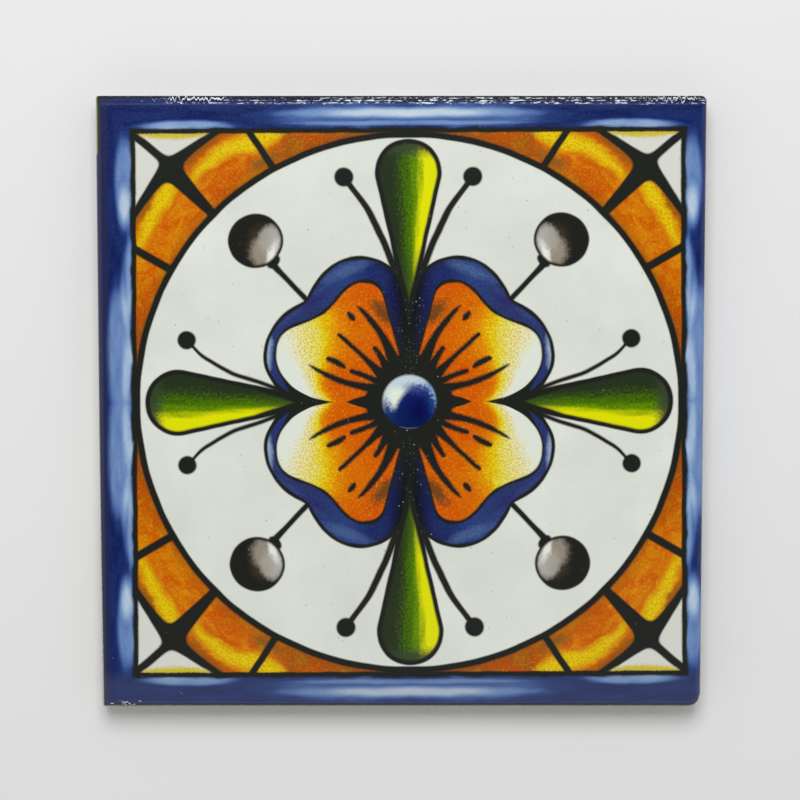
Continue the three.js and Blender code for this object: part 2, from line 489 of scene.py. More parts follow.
def paintSprigs(tree, spot, below):
    surface = below
    for name, along, across in (("upright", spot["fv"], spot["fu"]),
                                ("lying", spot["fu"], spot["fv"])):
        route = sprigs[name + "Stem"]
        line = add(tree, "FloatCurve", {"Value": along}, points=route)
        edge = add(tree, "Math", [apart(tree, across, line), 0.88, -sprigs[name + "HalfWidth"]],
                   operation="MULTIPLY_ADD")
        before = add(tree, "Math", [route[0][0], along], operation="SUBTRACT")
        after = add(tree, "Math", [along, route[-1][0]], operation="SUBTRACT")
        edge = cutOff(tree, edge, before, after)
        surface = lay(tree, surface, sprigs["stemColour"], edge, 0.16)
        centre, radius = sprigs[name + "Head"]
        head = oval(tree, spot["folded"], centre, (radius, radius))
        surface = lay(tree, surface, glazeColours["black"], head, 0.1)
    return surface


# The shaded balls on the diagonals, each on a straight stem from the flower's notch
ballShape = {
    "centre": (26.4, 28.0),
    "radius": 4.75,
    "stem": ((17.6, 17.6), (23.4, 23.9)),
    "collar": ((23.3, 24.35), (0.9, 1.35)),
    "dark": "#1f1f1b",
    # colour, middle, halves, turn, softness and strength of each brushed patch
    "shading": [("#453d31", (25.2, 26.7), (2.5, 3.7), 0, 0.3, 0.75),
                ("#978d7e", (25.3, 26.0), (2.0, 2.4), 0, 0.3, 0.95),
                ("#a39f93", (24.1, 28.1), (1.8, 2.5), 8, 0.24, 0.95),
                ("#b4b2aa", (22.9, 27.6), (1.2, 2.4), 0, 0.6, 0.8),
                ("#e6e6dd", (23.6, 25.7), (0.72, 2.0), 18, 0.5, 1.0)],
    "ragged": 0.8,  # mm, how far the edges of the patches stray
}


def paintBalls(tree, spot, below):
    ball = ballShape
    folded = spot["folded"]
    black = glazeColours["black"]
    stem = stroke(tree, folded, *ball["stem"], 0.0, [0.5, 0.46, 0.5, 0.6])
    surface = lay(tree, below, black, stem, 0.15)
    collar = oval(tree, folded, *ball["collar"], 45)
    surface = lay(tree, surface, black, collar, 0.15)
    size = ball["radius"]
    edge = oval(tree, folded, ball["centre"], (size, size))
    surface = lay(tree, surface, black, edge, 0.03)
    shade = ball["dark"]
    brushed = astray(tree, folded, ball["ragged"], 0.9, 3.0, 0.7)
    for colour, centre, halves, turn, softness, strength in ball["shading"]:
        patch = oval(tree, brushed, centre, halves, turn)
        shade = lay(tree, shade, colour, patch, softness, strength)
    inner = add(tree, "Math", [edge, 0.1], operation="ADD")
    return lay(tree, surface, shade, inner, 0.045)


# The flower: four two-lobed petals in a cobalt band with black lines. Each outline is the
# radius in mm at an angle in degrees from the U axis, in one quarter
flowerShape = {
    "outline": [(3, 22.0), (9, 24.2), (15, 26.0), (21, 26.8), (27, 27.0), (33, 26.8),
                (39, 26.05), (43, 25.35), (45, 25.1), (47, 25.5), (51, 26.2), (57, 27.0),
                (63, 27.3), (69, 27.1), (75, 26.0), (81, 24.3), (86, 22.0)],
    "bandOuter": [(5, 21.3), (9, 23.45), (15, 25.35), (21, 26.25), (27, 26.55), (33, 26.25),
                  (39, 25.45), (45, 24.85), (51, 25.65), (57, 26.45), (64, 26.9), (69, 26.45),
                  (75, 25.45), (81, 23.55), (84, 21.65)],
    "bandInner": [(5, 21.1), (9, 22.15), (15, 23.95), (21, 25.15), (27, 25.45), (33, 24.65),
                  (39, 22.95), (45, 22.05), (51, 21.95), (57, 22.55), (63, 23.1), (69, 22.95),
                  (75, 21.85), (81, 18.95), (84, 13.15)],
    "petal": [(2, 16.2), (6, 19.4), (9, 21.2), (15, 23.4), (21, 24.6), (25.5, 24.95),
              (30, 24.6), (36, 23.0), (42, 21.8), (48, 21.25), (54, 21.5), (60, 22.2),
              (65, 22.5), (69, 22.2), (75, 20.5), (79, 16.5)],
    # the black middle, with its pointed rays
    "middle": [(0, 10.8), (3, 9.6), (7, 8.0), (12, 7.6), (18, 7.6), (24, 7.0), (30, 6.9),
               (38, 6.9), (46, 6.9), (54, 6.9), (60, 7.2), (66, 7.8), (72, 8.2), (78, 8.4),
               (84, 8.8), (90, 9.0)],
    # where the yellow of the petal turns white, and over how many mm orange turns to it
    "whiteFrom": [(0, 15.6), (2, 17.3), (4, 18.2), (6, 19.0), (8, 20.0), (10, 21.0),
                  (14, 21.8), (20, 24.0)],
    "yellowOver": [(0, 2.4), (3.4, 2.7), (6, 4.6), (9, 7.4), (13, 8.8), (20, 7.5)],
    # from orange to white, and where the pale yellow is dotted in between
    "petalColours": [(0.0, "#cc5903"), (0.88, glazeColours["white"]), (0.28, "#d06c03"),
                     (0.38, "#d98706"), (0.44, "#dea407"), (0.48, "#dfc20a"),
                     (0.53, "#e2d346"), (0.62, "#e5da86")],
    "redder": "#cf4203",
    "flecks": ("#e0b21e", 0.56, 0.72, 0.25),
    "dotted": [(0.4, 0.0), (0.48, 0.4), (0.58, 0.75), (0.7, 0.6), (0.84, 0.0)],
    "dots": "#bfaa22",
    "lobe": (glazeColours["white"], 0.74, 0.92),  # and where this white comes in
    "shadow": ((4.5, 15.5), (1.15, 2.7), -44),
    "shadowColour": "#473d1e",
    "side": (0.27, -0.45),  # slope and place of the petal's inner side
    "thicker": 0.12,  # what the black lines gain on the colours beside them
    # start, end, bow and half widths of the dark strokes in a petal
    "strokes": [((2.2, 5.4), (8.9, 16.6), 1.0, [1.5, 1.05, 0.75, 0.6, 0.5, 0.1]),
                ((9.45, 14.15), (10.5, 15.5), 0.0, [0.24, 0.5, 0.52, 0.42, 0.24]),
                ((4.4, 4.3), (12.1, 11.7), 0.15, [1.2, 0.74, 0.5, 0.42, 0.42, 0.36]),
                ((3.4, 5.2), (5.95, 9.5), 0.1, [1.2, 0.9, 0.62, 0.5, 0.36]),
                ((11.1, 5.95), (14.1, 7.6), 0.1, [0.26, 0.48, 0.54, 0.5, 0.34]),
                ((5.0, 3.2), (10.1, 5.4), 0.15, [0.9, 0.6, 0.5, 0.48, 0.4]),
                ((5.0, 2.2), (17.3, 6.4), -0.8, [1.1, 0.75, 0.58, 0.52, 0.4, 0.1])],
    # the band's blue, by the angle as a share of the quarter
    "blues": [(0.07, "#27316a"), (0.95, "#14161f"), (0.24, "#2f3a6c"), (0.5, "#2a3565"),
              (0.7, "#2c3f78"), (0.82, "#1e2a62"), (0.88, "#1a2152")],
    # lights brushed on the band: colour, middle, halves, turn and strength
    "bandLights": [("#8ea3c3", (24.55, 8.3), (0.75, 3.4), 4, 1.0),
                   ("#3b4b84", (18.4, 16.7), (4.4, 0.6), -40, 0.6),
                   ("#48608f", (10.6, 22.9), (4.2, 0.9), -22, 0.8),
                   ("#33487f", (4.6, 21.6), (1.2, 2.6), -20, 0.15),
                   ("#2a2460", (17.2, 17.4), (2.6, 0.7), -30, 0.7)],
    # the band turns black below this height and past this angle
    "sootBelow": (17.0, 8.0),
    "sootPast": (66.0, 74.0),
    "bandGap": 0.4,  # mm of black between the petal's side and the band
    "bandIn": 0.22,  # mm that the band reaches in over its inner line
}


def paintFlower(tree, spot, below):
    flower = flowerShape
    black = glazeColours["black"]
    surface = lay(tree, below, black, roundOutline(tree, spot, flower["outline"]))
    blue = add(tree, "ValToRGB", [spot["quarter"]], stops=flower["blues"])
    blotches = add(tree, "TexNoise", {"Vector": spot["flat"], "Scale": 0.42, "Detail": 3.0,
                                      "Roughness": 0.6})
    stray = add(tree, "Math", [blotches, 1.2, -0.6], operation="MULTIPLY_ADD")
    for colour, centre, halves, turn, strength in flower["bandLights"]:
        light = oval(tree, spot["folded"], centre, halves, turn)
        light = add(tree, "Math", [light, stray], operation="ADD")
        blue = lay(tree, blue, colour, light, 0.55, strength)
    blue = mottle(tree, blue, spot["grain"], 0.3, 0.7, 0.82, 1.18)
    low = add(tree, "MapRange", [spot["fv"], *flower["sootBelow"], 0.0, 0.9])
    steep = add(tree, "MapRange", [spot["angle"], *flower["sootPast"]])
    sooty = add(tree, "Math", [low, steep], operation="MULTIPLY")
    blue = add(tree, "Mix", {0: sooty, 6: blue, 7: black}, output=2, data_type="RGBA")
    outer = roundOutline(tree, spot, flower["bandOuter"])
    outer = add(tree, "Math", [outer, flower["thicker"]], operation="ADD")
    inner = roundOutline(tree, spot, flower["bandInner"])
    inner = add(tree, "Math", [-flower["bandIn"], inner], operation="SUBTRACT")
    # the petal's straight side beside the upright leaf, and the band along it
    side = add(tree, "Math", [spot["fv"], *flower["side"]], operation="MULTIPLY_ADD")
    side = add(tree, "Math", [side, spot["fu"]], operation="SUBTRACT")
    along = add(tree, "Math", [flower["bandGap"], side], operation="SUBTRACT")
    steeper = add(tree, "Math", [spot["angle"], 60.0], operation="LESS_THAN")
    along = add(tree, "Math", [steeper, 20.0, along], operation="MULTIPLY_ADD")
    inner = add(tree, "Math", [inner, along, 2.4], operation="SMOOTH_MIN")
    band = add(tree, "Math", [outer, inner], operation="MAXIMUM")
    surface = lay(tree, surface, blue, band)
    # the petal, from orange through yellow to white at the side lobe
    whiteFrom = add(tree, "FloatCurve", {"Value": spot["fv"]}, points=flower["whiteFrom"])
    over = add(tree, "FloatCurve", {"Value": spot["fv"]}, points=flower["yellowOver"])
    past = add(tree, "Math", [spot["fu"], whiteFrom], operation="SUBTRACT")
    ripe = add(tree, "Math", [past, over], operation="DIVIDE")
    ripe = add(tree, "MapRange", [ripe, -2.0, 0.5, 0.0, 1.0])
    ripe = fray(tree, ripe, spot["grain"], 0.2)
    ripe = fray(tree, ripe, blotches, 0.16)
    petal = add(tree, "ValToRGB", [ripe], stops=flower["petalColours"])
    redder = add(tree, "MapRange", [blotches, 0.48, 0.34, 0.0, 0.45])
    unripe = add(tree, "Math", [ripe, 0.25], operation="LESS_THAN")
    redder = add(tree, "Math", [redder, unripe], operation="MULTIPLY")
    petal = add(tree, "Mix", {0: redder, 6: petal, 7: flower["redder"]}, output=2,
                data_type="RGBA")
    petal = tinge(tree, petal, spot["grain"], *flower["flecks"])
    # the pale yellow is screened with darker dots
    dotted = add(tree, "FloatCurve", {"Value": ripe}, points=flower["dotted"])
    dot = add(tree, "MapRange", [spot["screen"], 0.42, 0.2, 0.0, 1.0])
    dotted = add(tree, "Math", [dotted, dot], operation="MULTIPLY")
    petal = add(tree, "Mix", {0: dotted, 6: petal, 7: flower["dots"]}, output=2,
                data_type="RGBA")
    petal = mottle(tree, petal, spot["grain"], 0.3, 0.7, 0.98, 1.1)
    petal = tinge(tree, petal, ripe, *flower["lobe"])
    shadow = oval(tree, spot["folded"], *flower["shadow"])
    shadow = add(tree, "Math", [stray, 0.7, shadow], operation="MULTIPLY_ADD")
    shadow = fray(tree, shadow, spot["grain"], 1.0)
    petal = lay(tree, petal, flower["shadowColour"], shadow, 0.5, 0.8)
    edge = roundOutline(tree, spot, flower["petal"])
    edge = add(tree, "Math", [edge, flower["thicker"]], operation="ADD")
    edge = add(tree, "Math", [edge, side, 0.5], operation="SMOOTH_MAX")
    surface = lay(tree, surface, petal, edge, 0.16)
    # the black middle and the strokes
    dark = roundOutline(tree, spot, flower["middle"])
    for start, end, bow, halfWidths in flower["strokes"]:
        one = stroke(tree, spot["folded"], start, end, bow, halfWidths)
        dark = add(tree, "Math", [dark, one], operation="MINIMUM")
    rough = add(tree, "Math", [spot["grain"], 0.22, dark], operation="MULTIPLY_ADD")
    rough = add(tree, "Math", [rough, 0.12], operation="SUBTRACT")
    spot["offPetal"] = add(tree, "Math", [edge, 0.0], operation="MAXIMUM")
    return lay(tree, surface, black, rough, 0.22)


# The round blue bead in the flower's middle, painted with a highlight at its top left
beadShape = {
    "centre": (0.02, 0.0),
    "radius": 4.62,
    "light": "#b3c6d6",
    # colour, middle from the bead's own, halves, turn and softness of each brushed patch
    "shading": [("#e3eada", (-2.1, 1.2), (1.8, 2.4), -25, 0.6),
                ("#c3d3dc", (-0.6, 3.4), (2.6, 1.2), 0, 0.5),
                ("#12226a", (1.0, -2.1), (3.5, 4.9), -18, 0.13),
                ("#0d2158", (-1.6, -4.6), (5.4, 3.2), -4, 0.16),
                ("#3a4b92", (1.4, 2.1), (1.7, 0.8), -10, 0.8),
                ("#234a8c", (3.9, 0.2), (0.7, 2.4), 8, 0.9),
                ("#86a5d0", (4.2, 1.7), (0.45, 2.1), 22, 0.8),
                ("#060b46", (1.6, -1.7), (2.0, 2.6), 0, 0.9),
                ("#17356c", (-3.8, -1.4), (0.8, 1.6), 20, 0.8)],
    "glint": ((-1.7, -4.32), (1.5, -4.42), -0.28, [0.02, 0.1, 0.02]),
    "glintColour": "#7f8da8",
}


def paintBead(tree, spot, below):
    bead = beadShape
    stray = add(tree, "Math", [spot["grain"], 1.5, -0.4], operation="MULTIPLY_ADD")
    ragged = add(tree, "CombineXYZ", [stray, stray, 0.0])
    local = add(tree, "VectorMath", [spot["flat"], ragged], operation="ADD")
    shade = bead["light"]
    for colour, centre, halves, turn, softness in bead["shading"]:
        patch = oval(tree, local, (centre[0] + 0.35, centre[1] + 0.35), halves, turn)
        shade = lay(tree, shade, colour, patch, softness)
    glint = stroke(tree, spot["flat"], *bead["glint"])
    shade = lay(tree, shade, bead["glintColour"], glint, 0.12, 0.7)
    size = bead["radius"]
    edge = oval(tree, spot["flat"], bead["centre"], (size, size))
    return lay(tree, below, shade, edge, 0.045)


# What the glaze does at the edges of the tile: a dark line runs along the top rim, with painted
# highlights in it, a white zigzag and rows of glints; it wears to the clay along the bottom,
# where the clay is painted darker as shade, and the lower left, and is chipped at the bottom left
# corner.
# Distances are in mm from the tile's edges
rimWear = {
    "down": 0.95,  # how far below the face the marks reach
    "crawls": (0.75, 1.9, 1.9),  # how many times the glaze crawls per mm
    "rimDark": "#12141d",
    # how deep the dark line of the top rim is, along it from the left
    "darkTop": [(-52, 0.55), (-34, 0.6), (-14, 0.85), (51, 0.95)],
    # painted highlight: the white of a lamp's reflection, broken up along the top rim
    "highlightWhite": "#eef1f4",
    # how thick the zigzag of painted highlight in it is, along it from the left
    "highlightShare": [(-52, 0.0), (-50, 0.08), (-42, 0.12), (-38.8, 0.62), (-31.5, 0.68),
                   (-29, 0.12), (40, 0.1), (44.5, 0.5), (50, 0.55), (51.5, 0.1)],
    # rows of glints: how far from the edge, and where they start
    "glintRows": [(0.42, -14.0), (0.85, -30.0), (1.27, -41.0)],
    "crawl": 0.12,  # mm, how deep the glaze is wrinkled there
    "wrinkledWithin": (1.5, 0.9),
    "mattWithin": (1.6, 1.2),
    "bottomBare": 0.36,
    "leftBare": 0.75,
    "leftFrom": 18.0,
    "edgeLines": (0.36, 0.22),  # mm, the dark line inside the bare clay, bottom and left
    "glint": "#dfe5ee",
    "edgeLine": "#141722",
    # the bare clay's colours, bottom and left; the bottom's darker grey is painted shade
    "bareColours": ("#868a80", "#b9bcb0"),
    "chip": "#cfd3d0",
    "climb": (24.0, -18.0, 3.1),  # where the glaze's lower edge rises on the left, and how far
    "side": (1.4, 0.9),  # mm from an edge, where its side begins to count
    "chipShare": [(-52, 0.3), (-50.3, 0.85), (-47, 0.8), (-44.5, 0.45), (-36, 0.25), (-30, 0.0)],
    "mossLine": ("#a9b11c", 0.3, 43.0),  # its width, and how low down the left side it comes
}


def paintRim(tree, spot, below):
    wear = rimWear
    low, high = [[c / mm for c in corner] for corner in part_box("glazed_tile")]
    x, y, z = spot["x"], spot["y"], spot["z"]
    place = add(tree, "CombineXYZ", [x, y, z])
    crawl = brushMarks(tree, place, wear["crawls"], roughness=0.65, distortion=0.6)
    fromTop = add(tree, "Math", [high[1], y], operation="SUBTRACT")
    fromBottom = add(tree, "Math", [y, low[1]], operation="SUBTRACT")
    fromLeft = add(tree, "Math", [x, low[0]], operation="SUBTRACT")
    underRim = add(tree, "Math", [high[2] - wear["down"], z], operation="SUBTRACT")
    darkTop = add(tree, "FloatCurve", {"Value": x}, points=wear["darkTop"])
    dark = add(tree, "Math", [fray(tree, fromTop, crawl, 0.4), darkTop], operation="SUBTRACT")
    surface = lay(tree, below, wear["rimDark"], cutOff(tree, dark, underRim), 0.15, 0.95)
    # painted highlights on the top rim: a white zigzag where the reflection is broken up, and
    # rows of glints
    wander = add(tree, "TexNoise", {"W": x, "Scale": 1.5, "Detail": 1.0},
                 noise_dimensions="1D")
    wander = add(tree, "Math", [wander, 2.2, -0.55], operation="MULTIPLY_ADD")
    zigzag = apart(tree, fromTop, wander)
    share = add(tree, "FloatCurve", {"Value": x}, points=wear["highlightShare"])
    bareClayAndHighlight = add(tree, "Math", [share, -0.3, 0.08], operation="MULTIPLY_ADD")
    bareClayAndHighlight = add(tree, "Math", [bareClayAndHighlight, zigzag], operation="ADD")
    bareClayAndHighlight = cutOff(tree, fray(tree, bareClayAndHighlight, crawl, 0.5), underRim)
    surface = lay(tree, surface, wear["highlightWhite"], bareClayAndHighlight, 0.06)
    for distance, start in wear["glintRows"]:
        glints = add(tree, "Math", [crawl, -1.4, 0.74], operation="MULTIPLY_ADD")
        glints = add(tree, "Math", [apart(tree, fromTop, distance), glints], operation="ADD")
        inset = add(tree, "MapRange", [x, start - 3.0, start, 0.6, 0.0])
        glints = add(tree, "Math", [glints, inset], operation="ADD")
        surface = lay(tree, surface, wear["glint"], cutOff(tree, glints, underRim), 0.07)
    # the glaze is wrinkled there and has lost its gloss
    within = wear["wrinkledWithin"]
    spot["wrinkles"] = add(tree, "MapRange", [fromTop, *within, 0.0, wear["crawl"]])
    matt = add(tree, "MapRange", [fromTop, *wear["mattWithin"]])
    onRim = add(tree, "MapRange", [underRim, 0.3, 0.0])
    spot["dullRim"] = add(tree, "Math", [matt, onRim], operation="MULTIPLY")
    # bare clay along the bottom, its grey darkened as painted shade, and up the left side from a
    # point that widens downwards, each with a dark line where the glaze ends
    ragged = add(tree, "Math", [crawl, 0.3, fromBottom], operation="MULTIPLY_ADD")
    bareBottom = add(tree, "Math", [ragged, wear["bottomBare"] + 0.15], operation="SUBTRACT")
    widening = add(tree, "MapRange", [y, wear["leftFrom"], low[1], 0.0, wear["leftBare"]])
    ragged = add(tree, "Math", [crawl, 0.25, fromLeft], operation="MULTIPLY_ADD")
    bareLeft = add(tree, "Math", [ragged, widening], operation="SUBTRACT")
    bareLeft = add(tree, "Math", [bareLeft, 0.1], operation="SUBTRACT")
    for bareClayAndHighlight, depth in zip((bareBottom, bareLeft), wear["edgeLines"]):
        line = add(tree, "Math", [bareClayAndHighlight, depth], operation="SUBTRACT")
        line = cutOff(tree, line, underRim)
        surface = lay(tree, surface, wear["edgeLine"], line, 0.15, 0.85)
    # the bare clay; the bottom's darker grey is painted shade
    for bareClayAndHighlight, colour in zip((bareBottom, bareLeft), wear["bareColours"]):
        surface = lay(tree, surface, colour, cutOff(tree, bareClayAndHighlight, underRim), 0.12)
    # the sides below them are bare too, the left one higher and higher towards the front
    behind, ahead, most = wear["climb"]
    climb = add(tree, "MapRange", [y, behind, ahead, 0.0, most])
    onLeft = add(tree, "MapRange", [fromLeft, *wear["side"], 0.0, 1.0])
    climb = add(tree, "Math", [climb, onLeft], operation="MULTIPLY")
    atFront = add(tree, "MapRange", [fromBottom, *wear["side"], 0.0, most])
    spot["climb"] = add(tree, "Math", [climb, atFront], operation="MAXIMUM")
    moss, width, lowest = wear["mossLine"]
    line = add(tree, "Math", [fromLeft, width], operation="SUBTRACT")
    under = add(tree, "Math", [lowest, y], operation="SUBTRACT")
    surface = lay(tree, surface, moss, cutOff(tree, line, under, underRim), 0.1)
    share = add(tree, "FloatCurve", {"Value": x}, points=wear["chipShare"])
    chip = add(tree, "Math", [share, -0.22, 0.8], operation="MULTIPLY_ADD")
    chip = add(tree, "Math", [chip, crawl], operation="SUBTRACT")
    narrow = add(tree, "Math", [apart(tree, fromBottom, 0.85), 0.4, -0.16],
                 operation="MULTIPLY_ADD")
    return lay(tree, surface, wear["chip"], cutOff(tree, chip, narrow), 0.02)


# A decal fired under clear gloss glaze on pressed clay: the print is sharp but breaks up
# into fine dots, the gloss is barely waved, and it stops low on the sides, where the clay
# is bare, matt and pale
glazeFinish = {
    "roughness": (0.12, 0.2),
    "waves": (2.4, 0.012),  # mm from one faint wave of the gloss to the next, and its depth
    "bareBelow": 2.4,  # mm up the sides
    "runs": 2.2,  # how much further the glaze runs down in places
    "specks": (0.62, 0.17),  # mm between pin holes and dust specks, and their size
    # mm from the middle between which they thin out, and the share that shows at each
    "crowd": (6.0, 21.0, 0.5, 0.003),
    "dust": [(0.0, "#3a3e3a"), (1.0, "#a8b1ad"), (0.5, "#4f5652"), (0.8, "#66706d")],
    "grounds": [(0.3, "#d4d8ce"), (0.7, "#e1e5db")],
    "scuffs": ("#a4a799", 0.64, 0.74, 0.4),
    "clays": [(0.3, "#aaa494"), (0.7, "#cdc8b9"), (0.5, "#bdb8a8")],
    "matt": (0.95, 0.85),  # roughness of the worn rim and of the bare clay
    "runsPerMm": 0.26,
    "cloudsPerMm": 0.09,  # in the clay's colour
}


def clayColour(tree, position):
    perMetre = glazeFinish["cloudsPerMm"] / mm
    cloud = add(tree, "TexNoise", {"Vector": position, "Scale": perMetre, "Detail": 5.0,
                                   "Roughness": 0.6})
    return add(tree, "ValToRGB", [cloud], stops=glazeFinish["clays"])


def paintedGlaze():
    finish = glazeFinish
    material = bpy.data.materials.new("paintedGlazeOnClay")
    material.use_nodes = True
    tree = material.node_tree
    tree.nodes.clear()
    spot = spotOnPrint(tree)
    ground = add(tree, "TexNoise", {"Vector": spot["flat"], "Scale": 0.06, "Detail": 4.0,
                                    "Roughness": 0.6})
    surface = add(tree, "ValToRGB", [ground], stops=finish["grounds"])
    scuffs = add(tree, "TexNoise", {"Vector": spot["flat"], "Scale": 0.5, "Detail": 4.0,
                                    "Roughness": 0.75})
    surface = tinge(tree, surface, scuffs, *finish["scuffs"])
    for motif in (paintBricks, paintBorder, paintFlower, paintLeaves, paintSprigs, paintBalls):
        surface = motif(tree, spot, surface)
    # pin holes and dust in the glaze, thickest over the flower's black middle
    pitch, across = finish["specks"]
    pins = add(tree, "TexVoronoi", {"Vector": spot["flat"], "Scale": 1 / pitch},
               voronoi_dimensions="2D")
    lucky = add(tree, "SeparateXYZ", [pins.node.outputs[1]])
    crowd = add(tree, "MapRange", [spot["radius"], *finish["crowd"]])
    onBlack = add(tree, "MapRange", [spot["offPetal"], 0.0, 0.3, 0.02, 1.0])
    crowd = add(tree, "Math", [crowd, onBlack], operation="MULTIPLY")
    rare = add(tree, "Math", [lucky, crowd], operation="SUBTRACT")
    rare = add(tree, "Math", [rare, 40.0], operation="MULTIPLY")  # there, or not at all
    size = add(tree, "Math", [pins, across / 2 / pitch], operation="SUBTRACT")
    pin = cutOff(tree, rare, size)
    dust = add(tree, "ValToRGB", [lucky.node.outputs[1]], stops=finish["dust"])
    surface = lay(tree, surface, dust, pin, 0.12)
    surface = paintBead(tree, spot, surface)
    surface = paintRim(tree, spot, surface)
    # the glaze's lower edge
    runs = add(tree, "TexNoise", {"Vector": spot["position"], "Detail": 2.0,
                                  "Scale": finish["runsPerMm"] / mm})
    edge = add(tree, "Math", [spot["z"], finish["bareBelow"]], operation="SUBTRACT")
    edge = fray(tree, edge, runs, finish["runs"])
    edge = add(tree, "Math", [edge, spot["climb"]], operation="SUBTRACT")
    bareClayAndHighlight = add(tree, "MapRange", [edge, 0.15, -0.15])
    clay = clayColour(tree, spot["position"])
    surface = add(tree, "Mix", {0: bareClayAndHighlight, 6: surface, 7: clay}, output=2, data_type="RGBA")
    gloss = add(tree, "MapRange", [spot["grain"], 0.3, 0.7, *finish["roughness"]])
    for share, rough in zip((spot["dullRim"], bareClayAndHighlight), finish["matt"]):
        gloss = add(tree, "Mix", {0: share, 2: gloss, 3: rough})
    waves = add(tree, "TexNoise", {"Vector": spot["position"], "Detail": 1.0,
                                   "Scale": 1 / (finish["waves"][0] * mm)})
    depth = add(tree, "Math", [spot["wrinkles"], finish["waves"][1]], operation="ADD")
    height = add(tree, "Math", [waves, depth], operation="MULTIPLY")
    bump = add(tree, "Bump", {"Height": height, "Strength": 1.0, "Distance": mm})
    shader = add(tree, "BsdfPrincipled", {"Base Color": surface, "IOR": 1.5,
                                          "Roughness": gloss, "Normal": bump})
    add(tree, "OutputMaterial", [shader])
    return material


# Pressed and fired clay, pale, matt and finely pitted, with painted shade darkening it down in
# the grooves
biscuitFinish = {
    "roughness": 0.88,
    "pitsPerMm": 1.4,
    "pitDepth": 0.2,
    "pitStrength": 0.35,
    "paintedGrooveShade": 0.78,
    "shadeOver": 0.25,  # mm up to a groove's floor
}


def bareBiscuit():
    finish = biscuitFinish
    material = bpy.data.materials.new("bareBiscuitClay")
    material.use_nodes = True
    tree = material.node_tree
    tree.nodes.clear()
    position = add(tree, "TexCoord", output=3)
    colour = clayColour(tree, position)
    depth = add(tree, "SeparateXYZ", [position]).node.outputs[2]
    deepest = tileShape["grooveDepth"]
    shadedFrom = deepest - finish["shadeOver"]
    # painted shade: the clay darkens towards each groove's floor
    colour = mottle(tree, colour, depth, shadedFrom * mm, deepest * mm, 1.0,
                    finish["paintedGrooveShade"])
    pits = add(tree, "TexNoise", {"Vector": position, "Scale": finish["pitsPerMm"] / mm,
                                  "Detail": 3.0})
    bump = add(tree, "Bump", {"Height": pits, "Strength": finish["pitStrength"],
                              "Distance": finish["pitDepth"] * mm})
    shader = add(tree, "BsdfPrincipled", {"Base Color": colour, "Normal": bump,
                                          "Roughness": finish["roughness"]})
    add(tree, "OutputMaterial", [shader])
    return material


# The tile's body. The width, length and thickness are the CAD part's
tileShape = {
    "rimRadius": 1.1,
    "rimLoops": 5,
    "chamfer": 0.5,
    "corners": {(1, 1): 0.9, (-1, 1): 0.5, (-1, -1): 0.7, (1, -1): 2.4},  # their radii
    "grooveWidth": 5.0,
    "grooveDepth": 0.8,
    "grooveLand": 9.5,
    "grooveMargin": 9.0,
    "step": 1.1,  # between the loops of the mesh
    "besideRim": 2.4,  # from an edge to the last loop that follows it
    "sideLoops": [1.6, 2.6, 3.6, 4.5],  # their heights
    "drawnIn": {-1: 0.3, 1: 0.33},  # the face's sides, at the bottom corners
    "drawnOver": (6, 4),  # how far in from a side that fades out, and over what height
}


# What turns a point in a square into one in a circle
def roundOff(a, b):
    return max(a, b) / hypot(a, b) if a > 0 and b > 0 else 1.0


def grooveRows(length):
    shape = tileShape
    pitch = shape["grooveWidth"] + shape["grooveLand"]
    room = length - 2 * shape["grooveMargin"]
    count = int((room + shape["grooveLand"]) // pitch)
    return [(i - (count - 1) / 2) * pitch for i in range(count)]


# Loops through the block: close together at the rim, and at the grooves' sides
def cutLoops(bm, width, length, thickness, rows):
    shape = tileShape
    radius = shape["rimRadius"]
    loops = shape["rimLoops"]
    near = [radius * (1 - tan(radians(45 * i / loops))) for i in range(loops)]
    half = shape["grooveWidth"] / 2
    end = width / 2 - shape["grooveMargin"]
    inFrom = near + [shape["besideRim"]]
    places = {0: [s * (width / 2 - d) for d in inFrom for s in (-1, 1)],
              1: [s * (length / 2 - d) for d in inFrom for s in (-1, 1)],
              2: [thickness - d for d in near] + shape["sideLoops"]}
    places[0] += [s * x for x in (end, end - half) for s in (-1, 1)]
    places[1] += [y + s * half for y in rows for s in (-1, 0, 1)]
    for axis, values in places.items():
        for value in sorted(values):
            at = Vector((0, 0, 0))
            at[axis] = value
            normal = Vector((0, 0, 0))
            normal[axis] = 1
            bmesh.ops.bisect_plane(bm, geom=bm.verts[:] + bm.edges[:] + bm.faces[:],
                                   dist=1e-4, plane_co=at, plane_no=normal)
    # the wide fields in between
    for axis in (0, 1):
        fields = {}
        for edge in bm.edges:
            run = edge.verts[1].co - edge.verts[0].co
            if abs(run[axis]) > 1.4 * shape["step"] and abs(abs(run[axis]) - run.length) < 1e-4:
                fields.setdefault(round(run.length, 2), []).append(edge)
        for run, edges in fields.items():
            bmesh.ops.subdivide_edges(bm, edges=edges, cuts=ceil(run / shape["step"]) - 1,
                                      use_grid_fill=True)


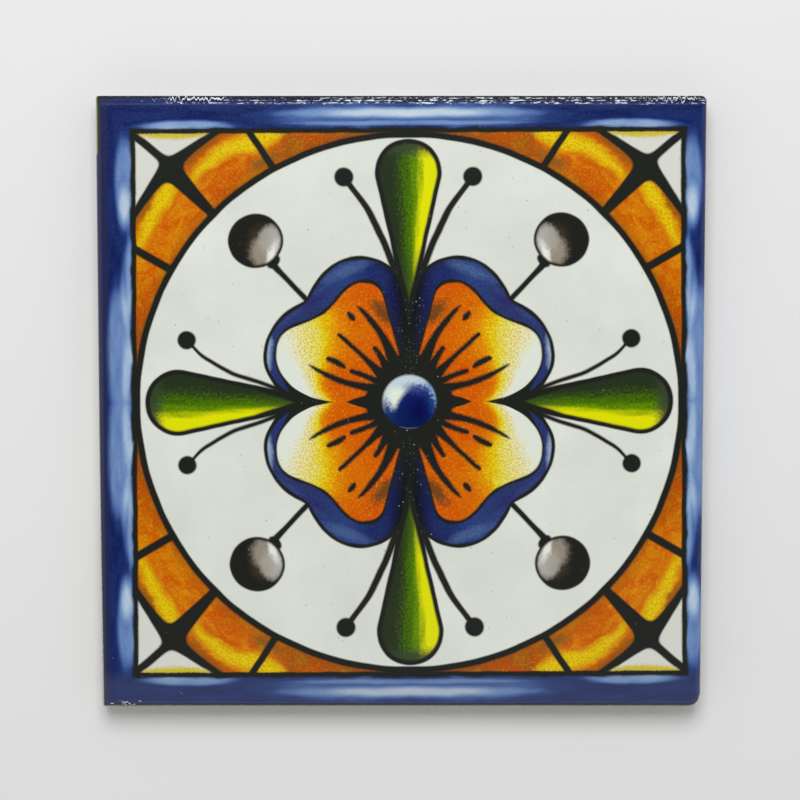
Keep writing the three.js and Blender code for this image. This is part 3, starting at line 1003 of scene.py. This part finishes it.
def makeTileMesh(width, length, thickness):
    shape = tileShape
    rows = grooveRows(length)
    bm = bmesh.new()
    bmesh.ops.create_cube(bm, size=1.0)
    bmesh.ops.scale(bm, vec=(width, length, thickness), verts=bm.verts)
    bmesh.ops.translate(bm, vec=(0, 0, thickness / 2), verts=bm.verts)
    back = [e for e in bm.edges if all(v.co.z < 1e-4 for v in e.verts)]
    bmesh.ops.bevel(bm, geom=back, offset=shape["chamfer"], offset_type="OFFSET", segments=1,
                    profile=0.5, affect="EDGES", material=-1)
    cutLoops(bm, width, length, thickness, rows)
    # the grooves
    half = shape["grooveWidth"] / 2
    end = width / 2 - shape["grooveMargin"]
    slots = []
    for face in bm.faces:
        middle = face.calc_center_median()
        inRow = any(abs(middle.y - row) < half for row in rows)
        if middle.z < 1e-4 and abs(middle.x) < end and inRow:
            slots.append(face)
    sunk = bmesh.ops.extrude_face_region(bm, geom=slots)["geom"]
    bmesh.ops.translate(bm, vec=(0, 0, shape["grooveDepth"]),
                        verts=[g for g in sunk if isinstance(g, bmesh.types.BMVert)])
    bmesh.ops.delete(bm, geom=[face for face in slots if face.is_valid], context="FACES")
    radius = shape["rimRadius"]
    inward, upward = shape["drawnOver"]
    for vert in bm.verts:
        x, y, z = vert.co
        # round ends of the grooves
        if z < shape["grooveDepth"] + 1e-4 and abs(x) > end - half and abs(x) < end + 1e-4:
            row = min(rows, key=lambda r: abs(r - y))
            a, b = abs(x) - (end - half), abs(y - row)
            if b < half + 1e-4:
                k = roundOff(a, b)
                x = (end - half + a * k) * (1 if x > 0 else -1)
                y = row + (y - row) * k
        sideX, sideY = (1 if x > 0 else -1), (1 if y > 0 else -1)
        dx, dy = width / 2 - abs(x), length / 2 - abs(y)
        # the rolled rim
        overX, overY = max(radius - dx, 0), max(radius - dy, 0)
        over, up = max(overX, overY), max(z - (thickness - radius), 0)
        k = roundOff(over, up)
        if k < 1:
            dx, dy = (radius - overX * k if overX else dx), (radius - overY * k if overY else dy)
            z = thickness - radius + up * k
        # the upright corners
        corner = shape["corners"][sideX, sideY]
        a, b = corner - dx, corner - dy
        if a > 0 and b > 0:
            k = roundOff(a, b)
            dx, dy = corner - a * k, corner - b * k
        # the glazed face is drawn in a little towards the bottom corners
        lower = max(0.0, 0.5 - y / length)
        grip = max(0.0, 1 - dx / inward) * (min(1.0, z / upward) if sideX < 0 else 1.0)
        dx += shape["drawnIn"][sideX] * lower * grip
        vert.co = (sideX * (width / 2 - dx), sideY * (length / 2 - dy), z)
    bmesh.ops.remove_doubles(bm, verts=bm.verts, dist=1e-4)
    bmesh.ops.recalc_face_normals(bm, faces=bm.faces)
    return bm


# Where each face lies in the picture that the finish is stored in: the painted face fills most of
# it, the four sides stand in strips at its right and the back is squeezed below
def unwrap(bm, width, length, thickness):
    layer = bm.loops.layers.uv.new("OFBake")
    faceShare, gap, margin = 0.93, 0.006, 0.05
    strip = (1 - faceShare - 2 * gap) / 4
    for face in bm.faces:
        normal = face.normal
        for loop in face.loops:
            x, y, z = loop.vert.co
            u, v = x / width + 0.5, y / length + 0.5
            if normal.z > 0.3:
                spot = (u * faceShare, 1 - (1 - v) * faceShare)
            elif normal.z < -0.3 or z < tileShape["grooveDepth"] + 0.01 and face.material_index:
                spot = (u * faceShare, v * (1 - faceShare - gap))
            else:
                sideways = abs(normal.x) > abs(normal.y)
                side = (0 if normal.x > 0 else 1) if sideways else (2 if normal.y > 0 else 3)
                along = v if sideways else u
                across = side + margin + (1 - 2 * margin) * z / thickness
                spot = (faceShare + gap + across * strip, 1 - (1 - along) * faceShare)
            loop[layer].uv = spot


def makeTile():
    low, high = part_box("glazed_tile")
    size = [(h - l) / mm for l, h in zip(low, high)]
    bm = makeTileMesh(*size)
    for face in bm.faces:
        deep = face.calc_center_median().z < tileShape["grooveDepth"] + 0.01
        face.material_index = 1 if deep else 0
        face.smooth = not deep
    unwrap(bm, *size)
    bmesh.ops.scale(bm, vec=(mm, mm, mm), verts=bm.verts)
    mesh = bpy.data.meshes.new("painted_tile")
    bm.to_mesh(mesh)
    bm.free()
    tile = bpy.data.objects.new("painted_tile", mesh)
    bpy.context.scene.collection.objects.link(tile)
    mesh.materials.append(paintedGlaze())
    mesh.materials.append(bareBiscuit())
    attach(tile, "root")
    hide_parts("glazed_tile")
    print("tile made", len(mesh.polygons), "faces")


# The camera looks down on the face, from a little above its middle
cameraPlace = {
    "distance": 441,
    "tilt": 3.81,  # degrees from straight down
    "frameWidth": 138.26,  # mm of the face's plane across the picture
    "aim": (1.17, 3.93),  # where the face's middle lies, in px right of and below the picture's
    "picture": 800,  # px
    "sensor": 36,
}


def makeCamera(thickness):
    place = cameraPlace
    data = bpy.data.cameras.new("camera")
    data.sensor_width = place["sensor"]
    data.lens = place["sensor"] * place["distance"] / place["frameWidth"]
    data.shift_x = -place["aim"][0] / place["picture"]
    data.shift_y = place["aim"][1] / place["picture"]
    data.clip_start = 0.01
    camera = bpy.data.objects.new("camera", data)
    tilt = radians(place["tilt"])
    reach = Vector((0, 0, place["distance"])) @ Euler((tilt, 0, 0)).to_matrix()
    camera.location = (reach + Vector((0, 0, thickness / mm))) * mm
    camera.rotation_euler = (-tilt, 0, 0)
    bpy.context.scene.collection.objects.link(camera)
    bpy.context.scene.camera = camera


# Soft studio light: a wide panel above the top of the tile and an even pale sky. The sky is
# dark straight above, so that the gloss doesn't veil the colours
studio = {
    "key": {"place": (-20, 330, 560), "size": 340, "watts": 2.9},
    "front": {"place": (60, -420, 900), "size": 560, "watts": 0.15},
    "sky": 0.57,
    "darkWithin": 13,  # degrees from straight up
    "fullFrom": 38,
    "floor": "#e4e4e4",
}


def makeStudio():
    scene = bpy.context.scene
    for name in ("key", "front"):
        data = bpy.data.lights.new(name, "AREA")
        data.size = studio[name]["size"] * mm
        data.energy = studio[name]["watts"]
        light = bpy.data.objects.new(name, data)
        light.location = [c * mm for c in studio[name]["place"]]
        light.rotation_euler = Vector(studio[name]["place"]).to_track_quat("Z", "Y").to_euler()
        scene.collection.objects.link(light)
    world = bpy.data.worlds.new("studio")
    world.use_nodes = True
    tree = world.node_tree
    tree.nodes.clear()
    direction = add(tree, "TexCoord")
    height = add(tree, "SeparateXYZ", [direction]).node.outputs[2]
    strength = add(tree, "MapRange", [height, cos(radians(studio["darkWithin"])),
                                      cos(radians(studio["fullFrom"])), 0.0, studio["sky"]])
    sky = add(tree, "Background", {"Color": (1, 1, 1, 1), "Strength": strength})
    add(tree, "OutputWorld", [sky])
    scene.world = world
    scene.view_settings.view_transform = "Standard"


def makeFloor():
    bm = bmesh.new()
    bmesh.ops.create_grid(bm, x_segments=1, y_segments=1, size=3.0)
    mesh = bpy.data.meshes.new("floor")
    bm.to_mesh(mesh)
    bm.free()
    floor = bpy.data.objects.new("floor", mesh)
    bpy.context.scene.collection.objects.link(floor)
    # matt paint, which mirrors nothing
    material = bpy.data.materials.new("palePaintedBoard")
    material.use_nodes = True
    tree = material.node_tree
    tree.nodes.clear()
    shader = add(tree, "BsdfPrincipled", {"Base Color": studio["floor"], "Roughness": 0.9})
    add(tree, "OutputMaterial", [shader])
    mesh.materials.append(material)


makeCamera(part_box("glazed_tile")[1][2])
makeStudio()
makeFloor()
makeTile()
print("scene made")
